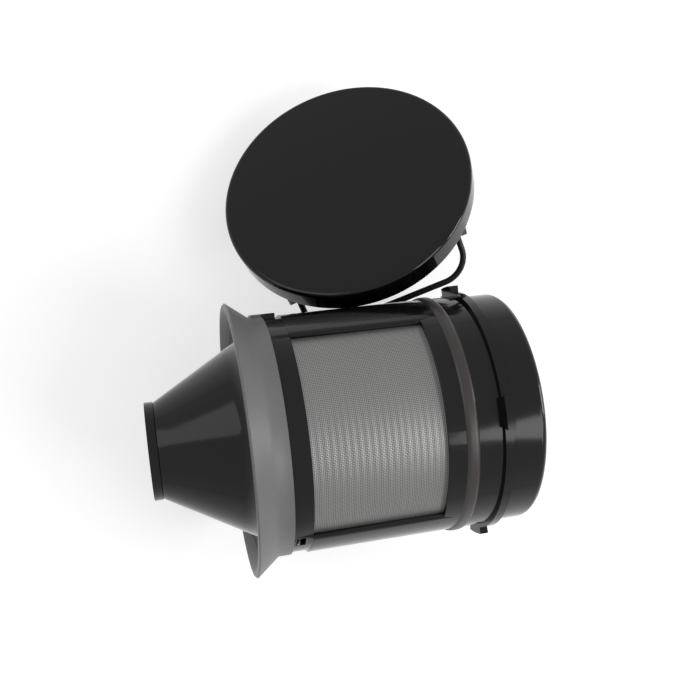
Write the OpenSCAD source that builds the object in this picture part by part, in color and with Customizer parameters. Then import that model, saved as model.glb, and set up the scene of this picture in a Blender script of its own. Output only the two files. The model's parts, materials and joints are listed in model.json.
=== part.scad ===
// Filter set of a dust bucket: a screen body lying on its side and the cup filter leaning on it.
// The screen body is drawn along its own axis: z = 0 is its outlet face and z grows towards the
// dust cone. The cup filter is drawn with the middle of its lid's face at the origin, lid upwards.
// The part's origin is the middle of the outlet face, +X points out of it and +Z is up.

/* [Screen frame] */
// Outside radius of the screen frame
frame_r = 43; // [40:0.5:46]
// Wall of the frame and of its lower neck
frame_wall = 1.8; // [1.4:0.1:2.4]
// Number of screen windows round the frame
window_count = 2; // [2:1:3]
// Angle that each window spans
window_angle = 106; // [60:1:110]
// Length of the windows along the axis
window_len = 46; // [36:1:56]
// Band of frame between the seal and the windows
upper_band = 6; // [5:0.5:9]
// Recessed band of frame between the windows and the skirt
lower_band = 6.6; // [6:0.2:9]
// Depth of the recessed band
recess = 0.8; // [0.4:0.1:1]
// Height of the locating key above the frame
key_height = 1; // [0.6:0.1:1.5]
// Turn of the screen body about its axis, as it lies
body_roll = -4; // [-20:1:20]

/* [Screen] */
// Thickness of the screen between its ridges and its inside
screen_t = 0.6; // [0.5:0.1:0.8]
// Height of a ridge of the weave
ridge_h = 0.3; // [0.1:0.05:0.35]
// Distance between ridges along the axis
ridge_pitch = 2.3; // [2:0.1:3]
// Rows of gaps in each window
gap_rows = 5; // [3:1:6]
// Gaps in one row of a window
gap_columns = 12; // [8:1:14]
// Width of one gap, as a share of its own pitch round the axis
gap_share = 0.5; // [0.3:0.05:0.7]

/* [Skirt and dust cone] */
// Outside radius of the skirt's rim
skirt_r = 49.2; // [47:0.2:52]
// Wall of the skirt
skirt_wall = 1.8; // [1.4:0.1:2.2]
// Length of the skirt's sleeve on the frame
sleeve_len = 4.4; // [4:0.2:7]
// Length of the skirt's flare along the axis
flare_len = 8.6; // [7.6:0.2:12]
// Length of the cone beyond the skirt's rim
cone_reach = 31.2; // [24:0.4:40]
// Outside radius of the cone at its flange
cone_base_r = 35; // [30:0.5:36]
// Outside radius of the cone at its collar
cone_tip_r = 17; // [14:0.5:20]
// Wall of the cone
cone_wall = 1.6; // [1.2:0.1:2.2]
// Length of the collar round the dust outlet
collar_len = 3; // [2:0.5:6]
// Snap tabs that hold the cone in the frame
tab_count = 2; // [2:1:4]

/* [Head] */
// Length of the end cap
cap_len = 13.4; // [11:0.2:18]
// Radius of the end cap's rounded edge
cap_edge = 2.6; // [1:0.2:2.8]
// Step from the frame's radius down to the end cap's
cap_step = 0.6; // [0.2:0.1:1]
// Length of the lug ring
ring_len = 3; // [2.4:0.2:5]
// Height of the lug ring above the frame
ring_height = 1.4; // [0.8:0.1:2]
// Height of the lugs above the lug ring
lug_height = 2.5; // [1:0.1:3]
// Number of lugs
lug_count = 4; // [2:1:6]
// Angle that each lug spans
lug_angle = 14; // [8:1:24]
// Length of the head's neck between the lug ring and the seal
neck_len = 8.6; // [8:0.2:14]
// Length of the neck seal along the axis
seal_len = 4.6; // [3.6:0.2:6]
// Height of the neck seal above the frame
seal_height = 0.8; // [0.4:0.1:1.4]
// Radius of the outlet tube
tube_r = 15; // [12:0.5:16]
// Reach of the outlet tube into the screen
tube_len = 40; // [30:1:46]
// Number of slots in the outlet tube
tube_slots = 10; // [6:1:12]

/* [Cup filter] */
// Outside radius of the lid
lid_r = 49.5; // [48.5:0.5:52]
// Height of the lid's side wall, face included
lid_height = 10; // [8:0.5:12]
// Wall of the lid
lid_wall = 2; // [1.6:0.1:2.4]
// Radius of the lid's upper edge
lid_edge = 1.8; // [0.8:0.2:1.8]
// Outside radius of the filter carrier
carrier_r = 38; // [36:0.2:38.4]
// Depth of the carrier's end below the lid's face
cup_depth = 24.8; // [22:0.2:26]
// Wall of the carrier
carrier_wall = 2; // [1.6:0.1:2.6]
// Depth of the foam pad
foam_t = 5.4; // [3:0.2:7]
// Distance between two folds of the pleated media
pleat_pitch = 3; // [2.4:0.2:5]
// Thickness of the media
media_t = 0.6; // [0.4:0.1:0.8]
// Spokes of the carrier's grille
spoke_count = 6; // [3:1:8]
// Thickness of the O-ring
oring_d = 2; // [1.6:0.1:2.2]

/* [Bail] */
// Thickness of the bail's wire
bail_d = 2.4; // [2:0.1:3]
// Half the distance between the bail's legs
bail_half = 33; // [32:0.2:33.4]
// Reach of the bail from its pivot
bail_reach = 18.3; // [16:0.2:19]
// Radius of the bail's corners
bail_corner = 10.3; // [6:0.1:12]
// Direction of the bail from the lid's middle, in the cup filter's own frame
bail_heading = 147.3; // [140:0.1:155]
// Distance of the pivot from the lid's middle
bail_offset = 30; // [29:0.2:31]
// Depth of the pivot below the lid's face
bail_depth = 14; // [13:0.2:15]
// Radius of the pivot pins
pin_r = 1; // [0.8:0.1:1.2]
// Swing of the bail below the lid's plane, as it lies
bail_rest = 54; // [54:1:90]

/* [How the set lies] */
// Tilt of the cup filter
cup_tilt = 31.5; // [26:0.5:34]
// Compass direction that the lid's face leans to
cup_heading = 133; // [120:1:140]
// Place of the lid's middle along the screen body, back from the outlet face
cup_back = 47.4; // [40:0.2:56]
// Gap between the lid's edge and the frame that it leans on
lean_gap = 0.3; // [0.2:0.1:1]

/* [Fits] */
// Radial gap of a pressed or snapped plastic joint
snug_gap = 0.1; // [0.05:0.05:0.15]
// Radial gap between the carrier and its seat
seat_gap = 0.4; // [0.3:0.1:0.6]
// Radial running clearance of the bail on its pins
pin_gap = 0.05; // [0.02:0.01:0.1]
// Free gap beside soft parts and round the bail's eyes
soft_gap = 0.3; // [0.2:0.1:0.5]

/* [Hidden] */
$fn = 96;
cut = 1;

// stations along the screen body, from the outlet face
z_ring = cap_len;
z_neck = z_ring + ring_len;
z_seal = z_neck + neck_len;
z_frame = z_seal + seal_len;
z_window = z_frame + upper_band;
z_window_end = z_window + window_len;
z_sleeve = z_window_end + lower_band;
z_flare = z_sleeve + sleeve_len;
z_rim = z_flare + flare_len;
z_tip = z_rim + cone_reach;
z_frame_end = z_flare + 3.6;
cone_seal_t = 0.8;
z_flange = z_frame_end + cone_seal_t;
flange_t = 1.6;
z_cone = z_flange + flange_t;

// radii of the screen body
bore_r = frame_r - frame_wall;
neck_r = frame_r - skirt_wall;
lower_bore_r = neck_r - frame_wall;
cap_r = frame_r - cap_step;
ring_r = frame_r + ring_height;
seat_r = carrier_r + seat_gap;
spigot_wall = 2;
cap_bore_r = seat_r + spigot_wall;
cap_lip = 3;

// the screen stops on the frame's inner step, the head's spigot holds its other end
step_inset = 1.8;
z_step = z_window_end + step_inset;
z_screen = z_window - 1.6;

// the seat's floor, below the carrier's end
plate_t = lid_wall;
gasket_t = 0.8;
gasket_w = 6;
z_floor = cup_depth - plate_t + gasket_t;
floor_t = z_seal + 1.6 - z_floor;
groove_r = seat_r + 0.5;
z_groove = z_floor - gasket_t - 0.2;
tube_flange_t = 2;
tube_wall = 1.6;
screw_r = 1.2;
screw_head_r = 2.4;
screw_head_t = 1.4;
screw_circle = tube_r + 5;
screw_count = 3;

// snap tabs of the cone, in slots of the recessed band
tab_angle = 7;
tab_len = 2.8;
tab_start = 122;
z_tab = z_step + 0.8;

// cup filter
media_r = carrier_r - carrier_wall - soft_gap;
foam_top = plate_t + soft_gap;
media_top = foam_top + foam_t + soft_gap;
lip_t = 1.2;
grille_t = 2;
grille_top = cup_depth - lip_t - grille_t;
media_depth = grille_top - media_top - soft_gap;
ear_t = 2.2;
ear_r = 2.8;
eye_r = 2.2;
eye_half = bail_d / 2;

// the cup filter stands on the edge of its carrier, level with the lowest point of the skirt
cup_z = carrier_r * sin(cup_tilt) + cup_depth * cos(cup_tilt) - skirt_r;

// nearest point of the lid's lower edge to the frame: the lid's own direction that is closest to -Y
lid_up = [sin(cup_tilt) * cos(cup_heading), sin(cup_tilt) * sin(cup_heading), cos(cup_tilt)];
near_len = sqrt(1 - lid_up[1] * lid_up[1]);
near_dir = [lid_up[0] * lid_up[1], lid_up[1] * lid_up[1] - 1, lid_up[1] * lid_up[2]] / near_len;
lid_lip = 1;
lip_at = lid_r * near_dir - (lid_height - lid_lip) * lid_up;
cup_y = sqrt(pow(frame_r + lean_gap, 2) - pow(cup_z + lip_at[2], 2)) - lip_at[1];

module on_body() {
    rotate([0, -90, 0]) rotate([0, 0, body_roll]) children();
}

module on_cup() {
    translate([-cup_back, cup_y, cup_z]) rotate([0, cup_tilt, cup_heading]) children();
}

// the bail's own place: y along its pivots, x along its legs
module on_pivot(swing) {
    on_cup() rotate([0, 0, bail_heading]) translate([bail_offset, 0, -bail_depth])
        rotate([0, swing, 0]) children();
}

module tube(r_out, r_in, z0, z1) {
    translate([0, 0, z0]) difference() {
        cylinder(r = r_out, h = z1 - z0);
        translate([0, 0, -cut]) cylinder(r = r_in, h = z1 - z0 + 2 * cut);
    }
}

module flat_ring(r_out, r_in) {
    difference() {
        circle(r = r_out);
        circle(r = r_in);
    }
}

// a piece of a tube wall, centred on angle at
module arc_block(r_in, r_out, z0, z1, span, at) {
    rotate([0, 0, at - span / 2]) rotate_extrude(angle = span)
        translate([r_in, z0]) square([r_out - r_in, z1 - z0]);
}

module end_cap() {
    color([0.03, 0.03, 0.035]) on_body() rotate_extrude() difference() {
        union() {
            translate([seat_r, cap_edge]) square([cap_r - seat_r, cap_len - cap_edge]);
            translate([seat_r, 0]) square([cap_r - cap_edge - seat_r, cap_edge + 0.01]);
            translate([cap_r - cap_edge, cap_edge]) intersection() {
                circle(r = cap_edge);
                translate([0, -cap_edge]) square(cap_edge);
            }
        }
        translate([seat_r - cut, cap_lip]) square([cap_bore_r + snug_gap - seat_r + cut, cap_len]);
    }
}

module lug_ring() {
    reach = ring_r + lug_height;
    side = 2 * reach * tan(lug_angle / 2);
    color([0.05, 0.05, 0.05]) on_body() translate([0, 0, z_ring]) linear_extrude(height = ring_len)
        difference() {
            union() {
                circle(r = ring_r);
                for (i = [0 : lug_count - 1])
                    rotate(i * 360 / lug_count) intersection() {
                        circle(r = reach);
                        polygon([[0, 0], [2 * reach, -side], [2 * reach, side]]);
                    }
            }
            circle(r = cap_bore_r + snug_gap);
        }
}

module screw_places() {
    for (i = [0 : screw_count - 1])
        rotate([0, 0, 360 * i / screw_count]) translate([screw_circle, 0, 0]) children();
}

module head_housing() {
    spigot_r = bore_r - snug_gap;
    bar_w = 2;
    color([0.04, 0.04, 0.04]) on_body() {
        tube(cap_bore_r, seat_r, cap_lip, z_neck);
        tube(frame_r, seat_r, z_neck, z_groove);
        tube(frame_r, groove_r, z_groove, z_seal);
        tube(spigot_r, spigot_r - spigot_wall, z_seal, z_screen);
        difference() {
            translate([0, 0, z_floor]) cylinder(r = groove_r + 0.4, h = floor_t);
            translate([0, 0, z_floor - cut]) cylinder(r = tube_r - tube_wall, h = floor_t + 2 * cut);
            screw_places() {
                translate([0, 0, z_floor - cut]) cylinder(r = screw_r + snug_gap, h = floor_t + 2 * cut);
                translate([0, 0, z_floor - cut]) cylinder(r = screw_head_r + snug_gap, h = screw_head_t + cut);
            }
        }
        for (turn = [0, 60, 120])
            rotate([0, 0, turn]) translate([-tube_r, -bar_w / 2, z_floor]) cube([2 * tube_r, bar_w, floor_t]);
    }
}

module seat_gasket() {
    color([0.12, 0.12, 0.12]) on_body()
        tube(groove_r - snug_gap, groove_r - gasket_w, z_floor - gasket_t, z_floor);
}

module neck_seal() {
    lip_w = seal_len / 2;
    color([0.16, 0.14, 0.14]) on_body() rotate_extrude() polygon([
        [bore_r, z_seal], [frame_r, z_seal], [frame_r + seal_height, z_seal + lip_w / 2],
        [frame_r + seal_height, z_frame - lip_w / 2], [frame_r, z_frame], [bore_r, z_frame]]);
}

module screen_frame() {
    key_span = 14;
    key_gap = 0.2;
    band_r = frame_r - recess;
    color([0.05, 0.05, 0.05]) on_body() difference() {
        union() {
            rotate_extrude() polygon([
                [bore_r, z_frame], [frame_r, z_frame], [frame_r, z_window_end], [band_r, z_window_end],
                [band_r, z_sleeve], [neck_r, z_sleeve], [neck_r, z_frame_end], [lower_bore_r, z_frame_end],
                [lower_bore_r, z_step], [bore_r, z_step]]);
            arc_block(band_r - 0.5, frame_r + key_height, z_window_end + 1.6, z_sleeve - key_gap, key_span, 90);
        }
        for (i = [0 : window_count - 1])
            arc_block(bore_r - cut, frame_r + cut, z_window, z_window_end, window_angle, i * 360 / window_count);
        for (i = [0 : tab_count - 1])
            arc_block(lower_bore_r - cut, frame_r + cut, z_tab - soft_gap, z_tab + tab_len + soft_gap,
                tab_angle + 1, tab_start + i * 360 / tab_count);
    }
}

module screen_sleeve() {
    base_r = bore_r - ridge_h;
    ridge_w = 0.8;
    ridges = floor((z_step - z_screen) / ridge_pitch);
    ridge_at = [for (i = [0 : ridges - 1]) z_screen + (i + 0.5) * ridge_pitch];
    row_at = [for (i = [0 : gap_rows - 1])
        z_screen + ridge_pitch * round((z_window + (i + 0.5) * window_len / gap_rows - z_screen) / ridge_pitch)];
    gap_h = ridge_pitch - ridge_w - 0.2;
    pitch = (window_angle - 6) / gap_columns;
    color([0.6, 0.6, 0.58]) on_body() difference() {
        rotate_extrude() polygon(concat(
            [[bore_r - screen_t, z_screen], [base_r, z_screen]],
            [for (z = ridge_at) each [[base_r, z - ridge_w / 2], [bore_r, z - ridge_w / 8],
                [bore_r, z + ridge_w / 8], [base_r, z + ridge_w / 2]]],
            [[base_r, z_step], [bore_r - screen_t, z_step]]));
        for (w = [0 : window_count - 1], c = [0 : gap_columns - 1])
            rotate([0, 0, w * 360 / window_count + (c - (gap_columns - 1) / 2) * pitch])
                for (z = row_at)
                    translate([bore_r - screen_t - cut, -pitch * gap_share * bore_r * PI / 360, z - gap_h / 2])
                        cube([screen_t + 2 * cut, pitch * gap_share * bore_r * PI / 180, gap_h]);
    }
}

module flared_skirt() {
    slope = (skirt_r - frame_r) / flare_len;
    inner_start = 0.8;
    rim_inner = neck_r + slope * (flare_len - inner_start);
    key_span = 14;
    color([0.42, 0.42, 0.42]) on_body() {
        rotate_extrude() polygon([
            [neck_r, z_sleeve], [frame_r, z_sleeve], [frame_r, z_flare], [skirt_r, z_rim - 0.6],
            [skirt_r - 0.6, z_rim], [rim_inner, z_rim], [neck_r, z_flare + inner_start]]);
        arc_block(frame_r - 0.5, frame_r + key_height, z_sleeve, z_flare - 0.6, key_span, 90);
    }
}

module dust_cone() {
    spigot_r = lower_bore_r - snug_gap;
    z_collar = z_tip - collar_len;
    tip_bore = cone_tip_r - cone_wall;
    lean = (cone_base_r - cone_tip_r) / (z_collar - z_cone);
    collar_h = 0.4;
    color([0.04, 0.04, 0.04]) on_body() {
        rotate_extrude() polygon([
            [spigot_r - cone_wall, z_tab - 0.8], [spigot_r, z_tab - 0.8], [spigot_r, z_flange],
            [neck_r, z_flange], [neck_r, z_cone], [cone_base_r, z_cone], [cone_tip_r, z_collar],
            [cone_tip_r + collar_h, z_collar], [cone_tip_r + collar_h, z_tip], [tip_bore, z_tip],
            [tip_bore, z_collar], [cone_base_r - cone_wall, z_collar - (cone_base_r - cone_tip_r) / lean],
            [spigot_r - cone_wall, z_flange]]);
        for (i = [0 : tab_count - 1])
            rotate([0, 0, tab_start + i * 360 / tab_count - tab_angle / 2]) rotate_extrude(angle = tab_angle)
                polygon([[spigot_r - 0.5, z_tab], [spigot_r, z_tab], [frame_r - recess, z_tab + tab_len - 1],
                    [frame_r - recess, z_tab + tab_len], [spigot_r - 0.5, z_tab + tab_len]]);
    }
}

module cone_seal() {
    color([0.2, 0.2, 0.2]) on_body() tube(neck_r, lower_bore_r, z_frame_end, z_flange);
}

module outlet_tube() {
    z_top = z_floor + floor_t;
    slot_w = 2.4;
    slot_len = tube_len - 16;
    color([0.1, 0.1, 0.1]) on_body() difference() {
        union() {
            translate([0, 0, z_top]) cylinder(r = tube_r, h = tube_len);
            translate([0, 0, z_top]) cylinder(r = screw_circle + 4, h = tube_flange_t);
        }
        translate([0, 0, z_top - cut]) cylinder(r = tube_r - tube_wall, h = tube_len + 2 * cut);
        screw_places() translate([0, 0, z_top - cut]) cylinder(r = screw_r, h = tube_flange_t + 2 * cut);
        for (i = [0 : tube_slots - 1])
            rotate([0, 0, i * 360 / tube_slots]) translate([0, -slot_w / 2, z_top + 8])
                cube([tube_r + cut, slot_w, slot_len]);
    }
}

module tube_screws() {
    color([0.7, 0.7, 0.7]) on_body() screw_places() {
        translate([0, 0, z_floor]) cylinder(r = screw_head_r, h = screw_head_t);
        translate([0, 0, z_floor]) cylinder(r = screw_r, h = floor_t + tube_flange_t);
    }
}

module ear(side) {
    y0 = bail_half + eye_half + soft_gap;
    translate([0, side > 0 ? y0 : -y0 - ear_t, 0]) difference() {
        union() {
            translate([-ear_r, 0, 0]) cube([2 * ear_r, ear_t, bail_depth - plate_t + 0.5]);
            rotate([-90, 0, 0]) cylinder(r = ear_r, h = ear_t);
        }
        translate([0, -cut, 0]) rotate([-90, 0, 0]) cylinder(r = pin_r, h = ear_t + 2 * cut);
    }
}

module cup_lid() {
    color([0.02, 0.02, 0.025]) {
        on_cup() rotate_extrude() difference() {
            union() {
                translate([0, -lid_edge]) square([lid_r - lid_edge, lid_edge]);
                translate([lid_r - lid_edge, -lid_edge]) intersection() {
                    circle(r = lid_edge);
                    square(lid_edge);
                }
                translate([0, lid_lip - lid_height]) square([lid_r, lid_height - lid_edge - lid_lip]);
                translate([lid_r - lid_wall, -lid_height]) square([lid_wall - lid_lip, lid_lip + 0.01]);
                translate([lid_r - lid_lip, lid_lip - lid_height]) intersection() {
                    circle(r = lid_lip);
                    translate([0, -lid_lip]) square(lid_lip);
                }
            }
            translate([-cut, -lid_height - cut]) square([lid_r - lid_wall + cut, lid_height - plate_t + cut]);
        }
        on_pivot(0) for (side = [-1, 1]) ear(side);
    }
}

module filter_carrier() {
    z_end = -cup_depth;
    groove_at = -cup_depth + 7;
    color([0.08, 0.08, 0.08]) on_cup() rotate_extrude() difference() {
        translate([carrier_r - carrier_wall - 2, z_end]) square([carrier_wall + 2, cup_depth - plate_t]);
        translate([carrier_r - carrier_wall - 2 - cut, z_end + lip_t]) square([2 + cut, cup_depth]);
        translate([carrier_r - oring_d * 0.4, groove_at - oring_d * 0.55]) square([oring_d, oring_d * 1.1]);
    }
}

module carrier_oring() {
    groove_at = -cup_depth + 7;
    color([0.15, 0.15, 0.15]) on_cup() translate([0, 0, groove_at]) rotate_extrude()
        translate([carrier_r + oring_d * 0.1, 0]) circle(d = oring_d, $fn = 32);
}

module pleated_media() {
    folds = 2 * floor(2 * media_r / pleat_pitch);
    x_at = function(i) (i - folds / 2) * pleat_pitch / 2;
    high = media_depth - media_t;
    z_at = function(i) i % 2 == 0 ? 0 : high;
    sheet = concat([for (i = [0 : folds]) [x_at(i), z_at(i)]],
        [for (i = [folds : -1 : 0]) [x_at(i), z_at(i) + media_t + (i % 2 == 0 ? 0.6 : 0)]]);
    color([0.85, 0.85, 0.8]) on_cup() translate([0, 0, -media_top - media_depth]) intersection() {
        rotate([90, 0, 0]) translate([0, 0, -media_r]) linear_extrude(height = 2 * media_r) polygon(sheet);
        cylinder(r = media_r, h = media_depth);
    }
}

module foam_disc() {
    color([0.25, 0.25, 0.27]) on_cup() translate([0, 0, -foam_top - foam_t]) cylinder(r = media_r, h = foam_t);
}

module carrier_grille() {
    ring_w = 2.6;
    spoke_w = 2;
    outer = carrier_r - carrier_wall - snug_gap;
    hub_r = 6;
    middle = (outer + hub_r) / 2;
    color([0.08, 0.08, 0.08]) on_cup() translate([0, 0, -grille_top - grille_t])
        linear_extrude(height = grille_t) {
            flat_ring(outer, outer - ring_w);
            flat_ring(middle + spoke_w / 2, middle - spoke_w / 2);
            circle(r = hub_r);
            for (i = [0 : spoke_count - 1])
                rotate(i * 360 / spoke_count) translate([0, -spoke_w / 2]) square([outer - ring_w / 2, spoke_w]);
        }
}

module bail() {
    wire_r = bail_d / 2;
    leg = bail_reach - bail_corner;
    color([0.05, 0.05, 0.05]) on_pivot(bail_rest) difference() {
        union() {
            for (side = [-1, 1]) {
                translate([0, side * bail_half, 0]) rotate([0, 90, 0]) cylinder(r = wire_r, h = leg, $fn = 32);
                translate([0, side * bail_half - eye_half, 0]) rotate([-90, 0, 0]) cylinder(r = eye_r, h = bail_d);
                translate([leg, side * (bail_half - bail_corner), 0]) rotate([0, 0, side > 0 ? 0 : -90])
                    rotate_extrude(angle = 90) translate([bail_corner, 0]) circle(r = wire_r, $fn = 32);
            }
            translate([bail_reach, bail_corner - bail_half, 0]) rotate([-90, 0, 0])
                cylinder(r = wire_r, h = 2 * (bail_half - bail_corner), $fn = 32);
        }
        for (side = [-1, 1])
            translate([0, side * bail_half - 2 * eye_half, 0]) rotate([-90, 0, 0])
                cylinder(r = pin_r + pin_gap, h = 4 * eye_half);
    }
}

module bail_pins() {
    pin_len = bail_d + soft_gap + soft_gap + ear_t;
    head_t = 1;
    color([0.75, 0.75, 0.75]) on_pivot(0) for (side = [0, 180])
        rotate([0, 0, side]) translate([0, bail_half - eye_half - soft_gap, 0]) rotate([-90, 0, 0]) {
            cylinder(r = pin_r, h = pin_len);
            translate([0, 0, -head_t]) cylinder(r = pin_r + 0.8, h = head_t);
        }
}

end_cap();
lug_ring();
head_housing();
seat_gasket();
neck_seal();
screen_frame();
screen_sleeve();
flared_skirt();
dust_cone();
cone_seal();
outlet_tube();
tube_screws();
cup_lid();
filter_carrier();
pleated_media();
foam_disc();
carrier_grille();
carrier_oring();
bail();
bail_pins();
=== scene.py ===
import json
import math

import bmesh
import bpy
import numpy as np
from mathutils import Matrix, Vector


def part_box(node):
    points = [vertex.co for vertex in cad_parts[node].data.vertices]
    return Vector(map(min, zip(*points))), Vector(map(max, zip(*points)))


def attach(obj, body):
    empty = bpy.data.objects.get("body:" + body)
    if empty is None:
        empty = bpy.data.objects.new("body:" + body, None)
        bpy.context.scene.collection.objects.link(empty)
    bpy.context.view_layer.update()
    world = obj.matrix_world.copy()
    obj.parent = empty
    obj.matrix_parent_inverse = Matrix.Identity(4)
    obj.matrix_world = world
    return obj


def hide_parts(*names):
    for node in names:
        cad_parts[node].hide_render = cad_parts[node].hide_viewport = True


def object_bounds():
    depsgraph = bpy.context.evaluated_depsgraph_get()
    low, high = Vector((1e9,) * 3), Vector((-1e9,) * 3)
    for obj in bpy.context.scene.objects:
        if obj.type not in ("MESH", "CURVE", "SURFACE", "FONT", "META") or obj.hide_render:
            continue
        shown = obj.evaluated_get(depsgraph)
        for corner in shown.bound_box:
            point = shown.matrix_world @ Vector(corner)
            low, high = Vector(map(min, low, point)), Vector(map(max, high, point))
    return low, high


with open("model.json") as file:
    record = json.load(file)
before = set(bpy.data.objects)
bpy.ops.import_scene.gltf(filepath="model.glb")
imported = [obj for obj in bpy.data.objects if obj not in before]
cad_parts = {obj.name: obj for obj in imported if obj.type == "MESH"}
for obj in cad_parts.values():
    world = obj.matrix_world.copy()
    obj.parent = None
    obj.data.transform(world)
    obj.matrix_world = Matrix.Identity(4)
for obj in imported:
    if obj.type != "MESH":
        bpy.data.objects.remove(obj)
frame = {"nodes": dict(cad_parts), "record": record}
cadBox = [list(corner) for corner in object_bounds()]
slotOf = {part["node"]: part["material_slot"] for part in frame["record"]["subparts"]}
print("frame loaded")


# A shader socket that takes part in sums, with one method that adds any node
class Wire:
    def __init__(self, tree, socket=None):
        self.tree = tree
        self.socket = socket

    def make(self, kind, settings, values, output=0):
        node = self.tree.nodes.new(kind)
        for name, value in settings.items():
            setattr(node, name, value)
        for name, value in values.items():
            if isinstance(value, Wire):
                self.tree.links.new(value.socket, node.inputs[name])
            else:
                node.inputs[name].default_value = value
        return Wire(self.tree, node.outputs[output])

    def calc(self, operation, first, second=0.0):
        return self.make("ShaderNodeMath", {"operation": operation}, {0: first, 1: second})

    def __add__(self, other):
        return self.calc("ADD", self, other)

    def __sub__(self, other):
        return self.calc("SUBTRACT", self, other)

    def __rsub__(self, other):
        return self.calc("SUBTRACT", other, self)

    def __mul__(self, other):
        return self.calc("MULTIPLY", self, other)

    __radd__ = __add__
    __rmul__ = __mul__


def blendColours(factor, first, second):
    return factor.make("ShaderNodeMix", {"data_type": "RGBA"}, {0: factor, 6: first, 7: second}, 2)


def startMaterial(name):
    material = bpy.data.materials.new(name)
    material.use_nodes = True
    shader = material.node_tree.nodes["Principled BSDF"]
    return material, shader, Wire(material.node_tree)


def plug(shader, name, wire):
    wire.tree.links.new(wire.socket, shader.inputs[name])


# Moulded plastic, rubber or fibre: a colour that varies a little, with grain and faint handling marks
def mouldedFinish(name, look):
    material, shader, start = startMaterial(name)
    place = start.make("ShaderNodeTexCoord", {}, {}, "Object")
    cloud = start.make("ShaderNodeTexNoise", {}, {
        "Vector": place, "Scale": look["cloudScale"], "Detail": 3.0})
    grain = start.make("ShaderNodeTexNoise", {}, {
        "Vector": place, "Scale": look["grainScale"], "Detail": 2.0})
    dark = [channel * (1 - look["variation"]) for channel in look["colour"]] + [1.0]
    light = [channel * (1 + look["variation"]) for channel in look["colour"]] + [1.0]
    plug(shader, "Base Color", blendColours(cloud, dark, light))
    plug(shader, "Roughness", (cloud - 0.5) * look["marks"] + look["roughness"])
    plug(shader, "Normal", start.make("ShaderNodeBump", {}, {
        "Strength": look["grain"], "Distance": look["grainDepth"], "Height": grain}))
    shader.inputs["Coat Weight"].default_value = look["coat"]
    shader.inputs["Coat Roughness"].default_value = 0.03
    shader.inputs["Metallic"].default_value = look["metal"]
    shader.inputs["Specular IOR Level"].default_value = look["shine"]
    return material


# Plain weave in millimetres of UV: threads where either sine is high, dark pores between them
def wovenFinish(name, look):
    material, shader, start = startMaterial(name)
    place = start.make("ShaderNodeUVMap", {"uv_map": "weave"}, {}, "UV")
    split = place.tree.nodes.new("ShaderNodeSeparateXYZ")
    place.tree.links.new(place.socket, split.inputs[0])
    across = start.calc("SINE", Wire(place.tree, split.outputs[0]) * (math.pi / look["pitch"]))
    along = start.calc("SINE", Wire(place.tree, split.outputs[1]) * (math.pi / look["pitch"]))
    warp = start.calc("ABSOLUTE", across)
    weft = start.calc("ABSOLUTE", along)
    thread = start.calc("GREATER_THAN", start.calc("MAXIMUM", warp, weft), look["poreEdge"])
    plug(shader, "Base Color", blendColours(thread, look["pore"], look["steel"]))
    plug(shader, "Metallic", thread * look["metal"])
    plug(shader, "Roughness", (1 - thread) * 0.4 + look["roughness"])
    plug(shader, "Normal", start.make("ShaderNodeBump", {}, {
        "Strength": 0.5, "Distance": 0.0001, "Height": across * along * 0.5 + 0.5}))
    return material


plainLook = {"colour": (0.012, 0.012, 0.014), "variation": 0.15, "cloudScale": 60.0, "grainScale": 900.0,
             "marks": 0.05, "roughness": 0.12, "grain": 0.04, "grainDepth": 0.00004, "coat": 0.0,
             "metal": 0.0, "shine": 0.2}
lookOf = {
    "gloss_black": {"colour": (0.006, 0.006, 0.007)},
    "mirror_black": {"colour": (0.002, 0.002, 0.0025), "roughness": 0.03, "marks": 0.02, "grain": 0.0,
                     "shine": 0.22},
    "matte_black": {"colour": (0.014, 0.014, 0.015), "roughness": 0.42, "grain": 0.25},
    "skirt_grey": {"colour": (0.14, 0.14, 0.142), "roughness": 0.44, "grain": 0.2, "shine": 0.4},
    "seal_rubber": {"colour": (0.032, 0.027, 0.026), "roughness": 0.36, "grain": 0.2, "shine": 0.35},
    "media_white": {"colour": (0.7, 0.69, 0.65), "roughness": 0.85, "grain": 0.6},
    "foam_grey": {"colour": (0.08, 0.08, 0.09), "roughness": 0.95, "grain": 0.9, "grainDepth": 0.0003},
    "screw_steel": {"colour": (0.55, 0.55, 0.56), "roughness": 0.3, "metal": 1.0, "shine": 0.5}}
finishes = {slot: mouldedFinish(slot, {**plainLook, **look}) for slot, look in lookOf.items()}
finishes["woven_steel"] = wovenFinish("woven_steel", {
    "pitch": 0.6, "poreEdge": 0.7, "pore": (0.015, 0.015, 0.015, 1.0), "steel": (0.24, 0.24, 0.235, 1.0),
    "metal": 0.7, "roughness": 0.42})
print("materials made")


def dress(piece, node, body):
    piece.data.materials.clear()
    piece.data.materials.append(finishes[slotOf[node]])
    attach(piece, body)
    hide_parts(node)
    return piece


def addPiece(name, mesh):
    piece = bpy.data.objects.new(name, mesh)
    bpy.context.scene.collection.objects.link(piece)
    return piece


# The same shape as the node, with its triangles merged so that round faces shade smoothly
def shadedPiece(name, node, body, sharpDegrees=30):
    mesh = frame["nodes"][node].data.copy()
    work = bmesh.new()
    work.from_mesh(mesh)
    bmesh.ops.remove_doubles(work, verts=work.verts, dist=0.000002)
    work.to_mesh(mesh)
    work.free()
    mesh.polygons.foreach_set("use_smooth", np.ones(len(mesh.polygons), dtype=bool))
    mesh.set_sharp_from_angle(angle=math.radians(sharpDegrees))
    piece = addPiece(name, mesh)
    weighted = piece.modifiers.new("evenNormals", "WEIGHTED_NORMAL")
    weighted.keep_sharp = True
    weighted.mode = "FACE_AREA_WITH_ANGLE"
    weighted.weight = 50
    return dress(piece, node, body)


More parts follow.
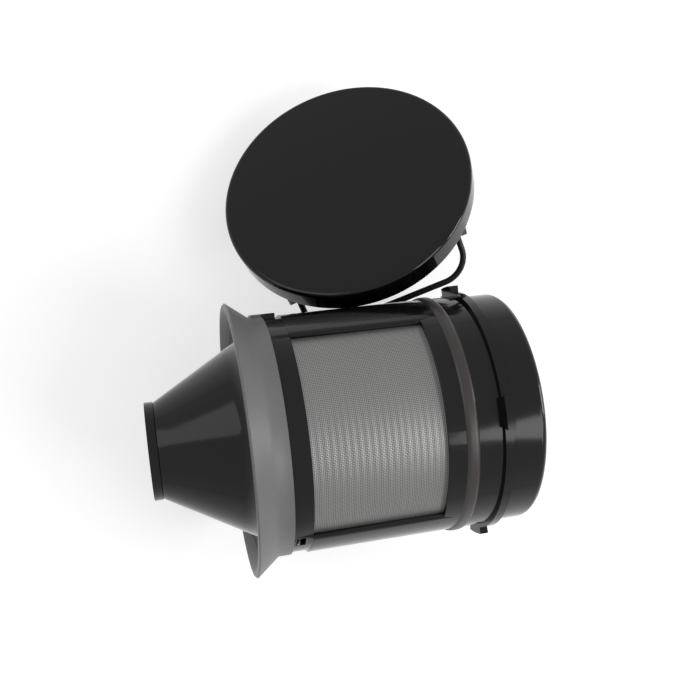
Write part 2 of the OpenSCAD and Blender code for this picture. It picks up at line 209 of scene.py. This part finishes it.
# A ring about the body's X axis: grid point (i, j) is profile point j, (x, radius), turned by angle i
def turnedMesh(name, profile, turns, closed):
    angle = np.linspace(0, 2 * math.pi, turns, endpoint=False)[:, None]
    x, radius = profile[:, 0][None, :], profile[:, 1][None, :]
    points = np.stack([x + 0 * angle, radius * np.sin(angle), radius * np.cos(angle)], axis=-1)
    count = len(profile)
    spans = count if closed else count - 1
    i, j = np.meshgrid(np.arange(turns), np.arange(spans), indexing="ij")
    iNext, jNext = (i + 1) % turns, (j + 1) % count
    faces = np.stack([i * count + j, iNext * count + j, iNext * count + jNext, i * count + jNext], axis=-1)
    mesh = bpy.data.meshes.new(name)
    mesh.from_pydata(points.reshape(-1, 3), [], faces.reshape(-1, 4).tolist())
    mesh.polygons.foreach_set("use_smooth", np.ones(len(mesh.polygons), dtype=bool))
    work = bmesh.new()
    work.from_mesh(mesh)
    bmesh.ops.recalc_face_normals(work, faces=work.faces)
    work.to_mesh(mesh)
    work.free()
    return mesh


# Neck seal: outer radius is a flat-topped bulge, 1 - (2t - 1)^4 along the ring's length
sealShape = {"bulge": 0.0008, "wall": 0.0018, "points": 24, "turns": 180}


def neckSeal():
    low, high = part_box("neck_seal")
    t = np.linspace(0, 1, sealShape["points"])
    foot = high[2] - sealShape["bulge"]
    x = high[0] - t * (high[0] - low[0])
    outside = np.stack([x, foot + sealShape["bulge"] * (1 - (2 * t - 1) ** 4)], axis=-1)
    inside = np.array([[low[0], foot - sealShape["wall"]], [high[0], foot - sealShape["wall"]]])
    mesh = turnedMesh("neckSeal", np.concatenate([outside, inside]), sealShape["turns"], True)
    return dress(addPiece("neckSeal", mesh), "neck_seal", "filter_set")


# Woven screen: a thin closed sleeve whose outer wall rises and falls by a cosine along its length
screenShape = {"ripple": 0.00008, "wave": 0.0023, "wall": 0.0004, "steps": 130, "turns": 260}


def wovenScreen():
    low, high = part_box("screen_sleeve")
    x = np.linspace(high[0], low[0], screenShape["steps"])
    ripple = screenShape["ripple"] * (np.cos(2 * math.pi * (x - low[0]) / screenShape["wave"]) - 1) / 2
    outerRadius = high[2] + ripple
    outside = np.stack([x, outerRadius], axis=-1)
    inside = np.stack([x[[-1, 0]], np.full(2, high[2] - screenShape["wall"])], axis=-1)
    mesh = turnedMesh("wovenScreen", np.concatenate([outside, inside]), screenShape["turns"], True)
    weave = mesh.uv_layers.new(name="weave")
    corners = np.empty(len(mesh.loops), dtype=np.int32)
    mesh.loops.foreach_get("vertex_index", corners)
    spots = np.empty(3 * len(mesh.vertices))
    mesh.vertices.foreach_get("co", spots)
    spots = spots.reshape(-1, 3)[corners]
    turn = np.arctan2(spots[:, 1], spots[:, 2]).reshape(-1, 4)
    turn = np.where(turn - turn.min(axis=1, keepdims=True) > math.pi, turn - 2 * math.pi, turn).reshape(-1)
    weave.data.foreach_set("uv", np.stack([turn * high[2] * 1000, spots[:, 0] * 1000], axis=-1).reshape(-1))
    return dress(addPiece("wovenScreen", mesh), "screen_sleeve", "filter_set")


neckSeal()
wovenScreen()
shaded = {"end_cap": "endCap", "screen_frame": "screenFrame", "flared_skirt": "flaredSkirt",
          "dust_cone": "dustCone", "cup_lid": "cupLid", "filter_carrier": "filterCarrier",
          "outlet_tube": "outletTube"}
for node, name in shaded.items():
    shadedPiece(name, node, "filter_set")
shadedPiece("wireBail", "bail", "bail")
for node, part in frame["nodes"].items():
    for slot in part.material_slots:
        slot.material = finishes[slotOf[node]]
print("pieces made")


# White ground that keeps the shadow: a pale diffuse colour, brightened only for what sees it directly
studio = {"ground": 0.62, "groundGlow": 0.54, "fill": 0.5, "floorSize": 8.0}


def whiteFloor():
    half = studio["floorSize"] / 2
    z = cadBox[0][2]
    mesh = bpy.data.meshes.new("floor")
    corners = [(-half, -half, z), (half, -half, z), (half, half, z), (-half, half, z)]
    mesh.from_pydata(corners, [], [(0, 1, 2, 3)])
    floor = addPiece("floor", mesh)
    material = bpy.data.materials.new("ground")
    material.use_nodes = True
    tree = material.node_tree
    tree.nodes.remove(tree.nodes["Principled BSDF"])
    start = Wire(tree)
    rays = tree.nodes.new("ShaderNodeLightPath")
    seen = start.calc("MAXIMUM", Wire(tree, rays.outputs["Is Camera Ray"]), Wire(tree, rays.outputs["Is Glossy Ray"]))
    grey = [studio["ground"]] * 3 + [1.0]
    diffuse = start.make("ShaderNodeBsdfDiffuse", {}, {"Color": grey})
    glow = start.make("ShaderNodeEmission", {}, {"Strength": seen * studio["groundGlow"]})
    both = start.make("ShaderNodeAddShader", {}, {0: diffuse, 1: glow})
    tree.links.new(both.socket, tree.nodes["Material Output"].inputs["Surface"])
    mesh.materials.append(material)


def whiteSurroundings():
    world = bpy.data.worlds.new("surroundings")
    bpy.context.scene.world = world
    world.use_nodes = True
    tree = world.node_tree
    start = Wire(tree)
    rays = tree.nodes.new("ShaderNodeLightPath")
    seen = Wire(tree, rays.outputs["Is Camera Ray"])
    for name in ("Is Glossy Ray", "Is Transmission Ray"):
        seen = start.calc("MAXIMUM", seen, Wire(tree, rays.outputs[name]))
    back = tree.nodes["Background"]
    back.inputs["Color"].default_value = (1, 1, 1, 1)
    plug(back, "Strength", seen * (1 - studio["fill"]) + studio["fill"])


def softLight(name, spot, aim, size, power):
    lamp = bpy.data.lights.new(name, "AREA")
    lamp.size = size
    lamp.energy = power
    light = bpy.data.objects.new(name, lamp)
    light.location = spot
    light.rotation_euler = (Vector(aim) - Vector(spot)).to_track_quat("-Z", "Y").to_euler()
    bpy.context.scene.collection.objects.link(light)


middle = tuple(sum(pair) / 2 for pair in zip(*cadBox))
whiteFloor()
whiteSurroundings()
softLight("keyLight", (0.45, -0.35, 0.7), middle, 0.4, 3.2)
softLight("sideLight", (-0.7, 0.3, 0.5), middle, 0.5, 1.4)
softLight("rimLight", (0.32, 0.0, 0.14), (0.0, 0.06, 0.0), 0.12, 0.5)

# The photograph's viewpoint, with its right, up and backward directions as columns
eye = {"spot": (-0.12544, 0.0, 0.32792), "right": (0.9716, -0.1339, 0.1953), "up": (0.1146, 0.9876, 0.1069),
       "lens": 46.39}
right = Vector(eye["right"]).normalized()
back = right.cross(Vector(eye["up"])).normalized()
up = back.cross(right)
lens = bpy.data.cameras.new("camera")
lens.sensor_fit = "HORIZONTAL"
lens.sensor_width = 36.0
lens.lens = eye["lens"]
lens.clip_start = 0.01
camera = bpy.data.objects.new("camera", lens)
camera.matrix_world = Matrix.Translation(eye["spot"]) @ Matrix((right, up, back)).transposed().to_4x4()
bpy.context.scene.collection.objects.link(camera)
bpy.context.scene.camera = camera
bpy.context.scene.view_settings.view_transform = "Standard"
print("stage, lights and camera made")
